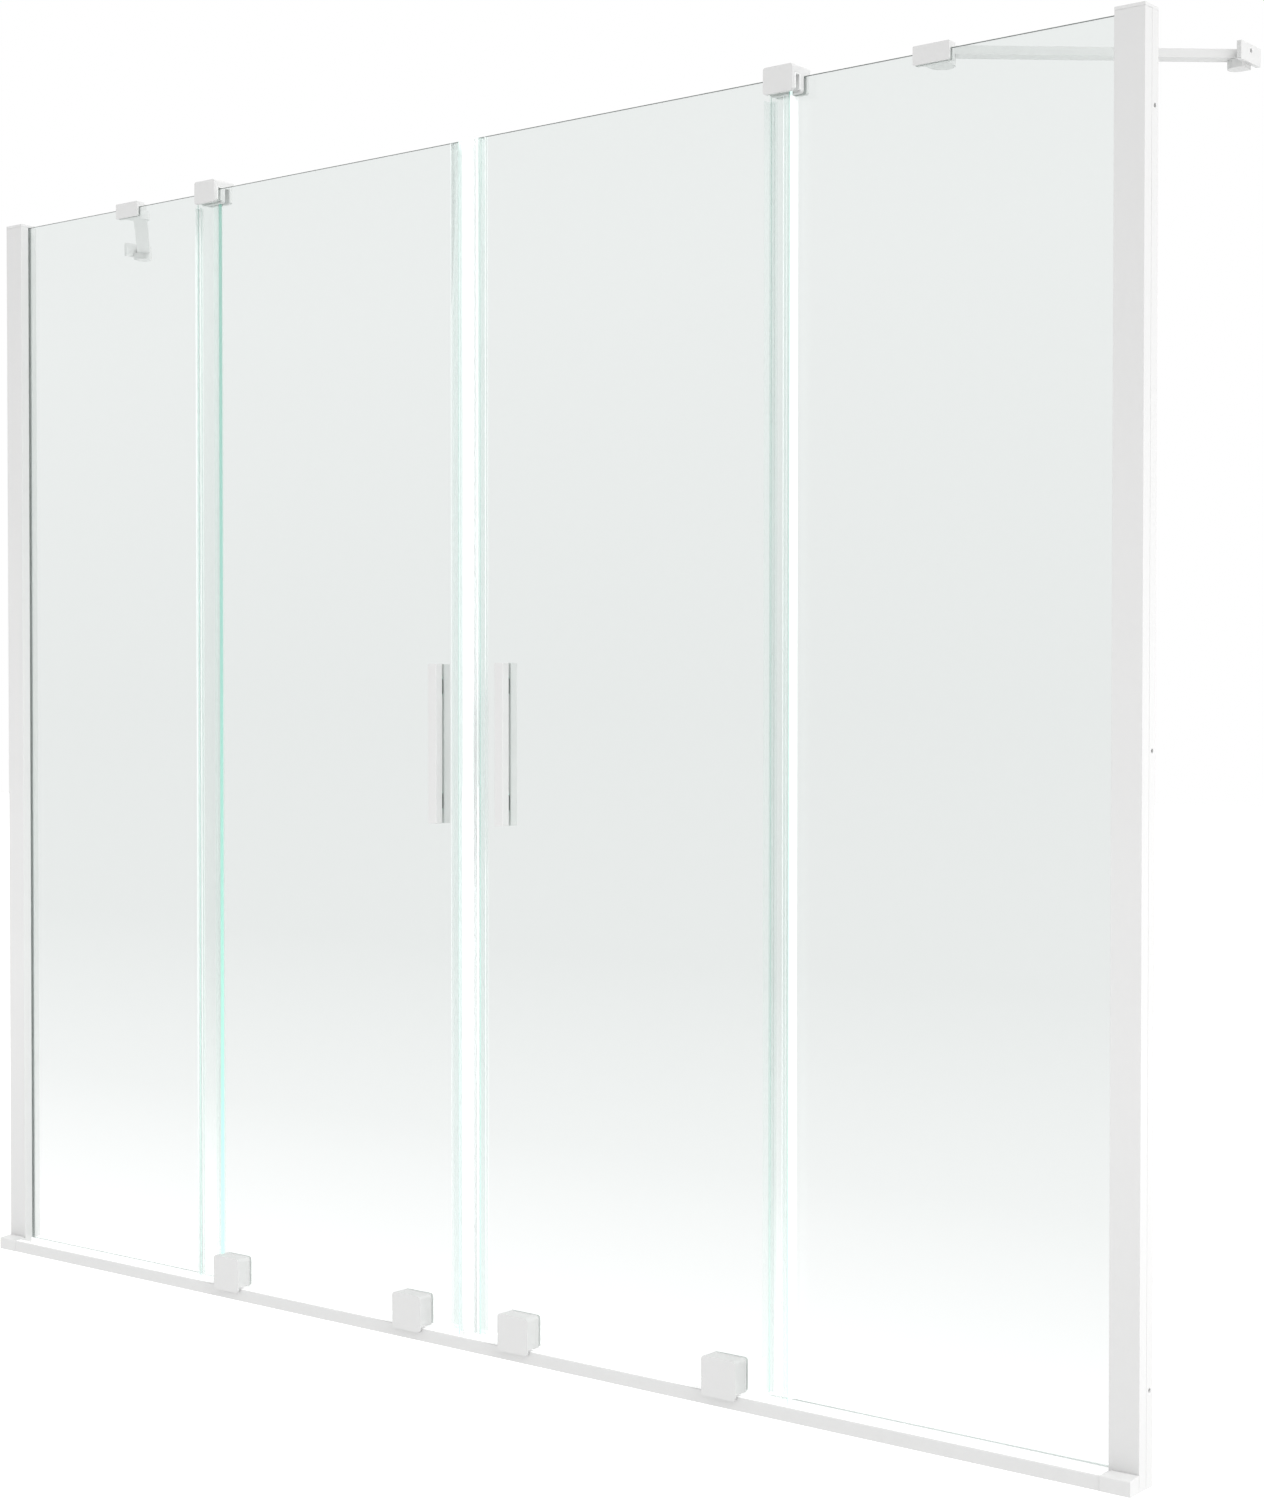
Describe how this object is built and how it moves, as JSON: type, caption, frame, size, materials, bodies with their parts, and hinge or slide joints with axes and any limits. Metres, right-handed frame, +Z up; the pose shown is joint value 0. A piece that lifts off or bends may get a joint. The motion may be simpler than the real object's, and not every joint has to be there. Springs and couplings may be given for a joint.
{
  "type": "sliding bath screen",
  "caption": "Four-pane sliding bath screen: two fixed outer panes, two sliding doors meeting in the middle on a roller rail, with wall profiles and stabiliser bars.",
  "frame": {"origin": "on the underside of the bottom rail, halfway along it, level with the front faces of the wall profiles", "axes": "+X along the screen to the right as seen from the room, +Y over the bath, +Z up"},
  "size_m": [1.8, 0.3035, 1.509],
  "materials": {
    "white_metal": "satin white powder coat on aluminium",
    "white_plastic": "smooth moulded white",
    "clear_glass": "clear tempered glass with a faint green edge",
    "clear_seal": "clear flexible seal profile",
    "roller_plastic": "nylon, slightly dull",
    "steel": "stainless fixings",
    "dark_rubber": "dark bush in the glass holes"
  },
  "bodies": {
    "frame": {"wall_channel_left": "white_metal", "cover_profile_left": "white_metal", "guide_block_left": "white_metal", "brace_clamp_left": "white_metal", "brace_pivot_left": "white_metal", "brace_bar_left": "white_metal", "brace_bracket_left": "white_metal", "profile_cap_left": "white_plastic", "rail_end_cap_left": "white_plastic", "fixed_glass_left": "clear_glass", "fixed_edge_seal_left": "clear_seal", "fixed_gasket_left": "clear_seal", "guide_liner_left": "roller_plastic", "wall_channel_right": "white_metal", "cover_profile_right": "white_metal", "guide_block_right": "white_metal", "brace_clamp_right": "white_metal", "brace_pivot_right": "white_metal", "brace_bar_right": "white_metal", "brace_bracket_right": "white_metal", "profile_cap_right": "white_plastic", "rail_end_cap_right": "white_plastic", "fixed_glass_right": "clear_glass", "fixed_edge_seal_right": "clear_seal", "fixed_gasket_right": "clear_seal", "guide_liner_right": "roller_plastic", "bottom_rail": "white_metal", "glazing_strips": "clear_seal", "guide_screws": "steel", "brace_screws": "steel"},
    "door_left": {"door_glass_left": "clear_glass", "magnet_strip_left": "white_plastic", "magnet_holder_left": "clear_seal", "door_edge_seal_left": "clear_seal", "handle_outer_left": "white_metal", "handle_inner_left": "white_metal", "handle_bolts_left": "steel", "handle_bushes_left": "dark_rubber", "carriage_left_inner": "white_metal", "carriage_left_outer": "white_metal", "roller_axles_left": "steel", "carriage_backplates_left": "white_metal", "carriage_screws_left": "steel"},
    "door_right": {"door_glass_right": "clear_glass", "magnet_strip_right": "white_plastic", "magnet_holder_right": "clear_seal", "door_edge_seal_right": "clear_seal", "handle_outer_right": "white_metal", "handle_inner_right": "white_metal", "handle_bolts_right": "steel", "handle_bushes_right": "dark_rubber", "carriage_right_inner": "white_metal", "carriage_right_outer": "white_metal", "roller_axles_right": "steel", "carriage_backplates_right": "white_metal", "carriage_screws_right": "steel"},
    "roller_left_inner": {"roller_left_inner": "roller_plastic"},
    "roller_left_outer": {"roller_left_outer": "roller_plastic"},
    "roller_right_inner": {"roller_right_inner": "roller_plastic"},
    "roller_right_outer": {"roller_right_outer": "roller_plastic"}
  },
  "joints": [
    {"name": "door_left_slide", "type": "slide", "parent": "frame", "child": "door_left", "axis": [-1, 0, 0], "range_m": [0, 0.365]},
    {"name": "door_right_slide", "type": "slide", "parent": "frame", "child": "door_right", "axis": [1, 0, 0], "range_m": [0, 0.365]},
    {"name": "roller_left_inner_spin", "type": "hinge", "parent": "door_left", "child": "roller_left_inner", "pos_m": [-0.0845, -0.014, 0.0273], "axis": [0, -1, 0], "range_deg": [-5, 1910]},
    {"name": "roller_left_outer_spin", "type": "hinge", "parent": "door_left", "child": "roller_left_outer", "pos_m": [-0.4135, -0.014, 0.0273], "axis": [0, -1, 0], "range_deg": [-5, 1910]},
    {"name": "roller_right_inner_spin", "type": "hinge", "parent": "door_right", "child": "roller_right_inner", "pos_m": [0.0905, -0.014, 0.0273], "axis": [0, 1, 0], "range_deg": [-5, 1910]},
    {"name": "roller_right_outer_spin", "type": "hinge", "parent": "door_right", "child": "roller_right_outer", "pos_m": [0.396, -0.014, 0.0273], "axis": [0, 1, 0], "range_deg": [-5, 1910]}
  ],
  "couplings": [
    {"joint": "roller_left_inner_spin", "follows": "door_left_slide", "rad_per_m": 90.909},
    {"joint": "roller_left_outer_spin", "follows": "door_left_slide", "rad_per_m": 90.909},
    {"joint": "roller_right_inner_spin", "follows": "door_right_slide", "rad_per_m": 90.909},
    {"joint": "roller_right_outer_spin", "follows": "door_right_slide", "rad_per_m": 90.909}
  ]
}
